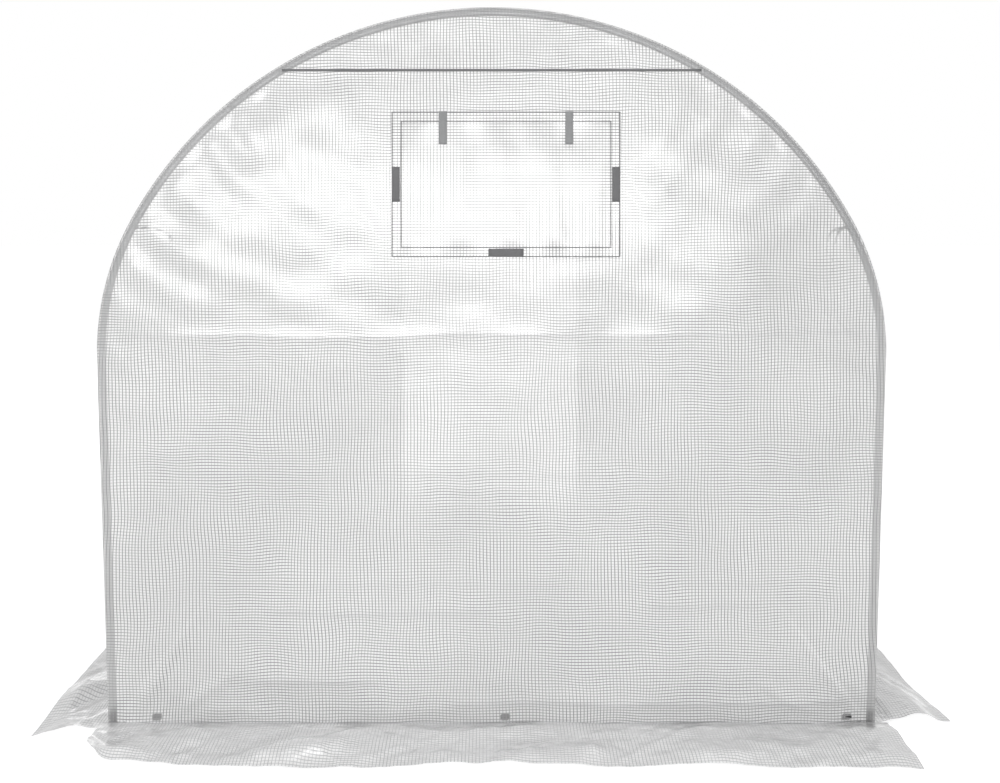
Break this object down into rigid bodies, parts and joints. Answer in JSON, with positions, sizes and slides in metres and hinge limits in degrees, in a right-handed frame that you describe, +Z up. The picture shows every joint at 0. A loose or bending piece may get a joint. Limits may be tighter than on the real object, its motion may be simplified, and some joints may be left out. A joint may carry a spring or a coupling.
{
  "type": "polytunnel greenhouse",
  "caption": "Walk-in garden polytunnel of bent steel hoops under clear thread-reinforced film, with a zipped doorway rolled up at one end, net windows under flaps and loose ground skirts.",
  "frame": {"origin": "on the ground, under the middle of the tunnel", "axes": "+Z up, +Y along the tunnel from the window end to the door end, +X to the right when facing the window end"},
  "size_m": [2.5348, 2.4832, 2.002],
  "materials": {
    "galvanised_tube": "hot-dip galvanised, dull",
    "black_plastic": "moulded, matt",
    "film": "clear reinforced film with a grid of threads",
    "insect_net": "fine white net",
    "webbing": "woven tape"
  },
  "bodies": {
    "root": {"base_clips": "black_plastic", "door_end_gable": "film", "door_end_header": "film", "door_end_hoop_crown": "galvanised_tube", "door_end_hoop_haunches": "galvanised_tube", "door_end_hoop_legs": "galvanised_tube", "door_end_left_wall": "film", "door_end_right_wall": "film", "door_end_skirt": "film", "door_ties": "webbing", "door_zips": "webbing", "end_window_flap": "film", "end_window_net": "insect_net", "end_window_straps": "webbing", "end_window_tabs": "webbing", "foot_joints": "black_plastic", "left_skirt": "film", "left_wall_cover": "film", "left_window_flaps": "film", "left_window_nets": "insect_net", "middle_hoop_crown": "galvanised_tube", "middle_hoop_haunches": "galvanised_tube", "middle_hoop_legs": "galvanised_tube", "ridge_purlin": "galvanised_tube", "right_skirt": "film", "right_wall_cover": "film", "right_window_flaps": "film", "right_window_nets": "insect_net", "rolled_door": "film", "roof_cover": "film", "side_base_rails": "galvanised_tube", "side_purlins": "galvanised_tube", "tie_tapes": "webbing", "wind_braces": "galvanised_tube", "window_end_base_rail": "galvanised_tube", "window_end_gable": "film", "window_end_hoop_crown": "galvanised_tube", "window_end_hoop_haunches": "galvanised_tube", "window_end_hoop_legs": "galvanised_tube", "window_end_skirt": "film", "window_end_wall": "film"}
  },
  "joints": []
}
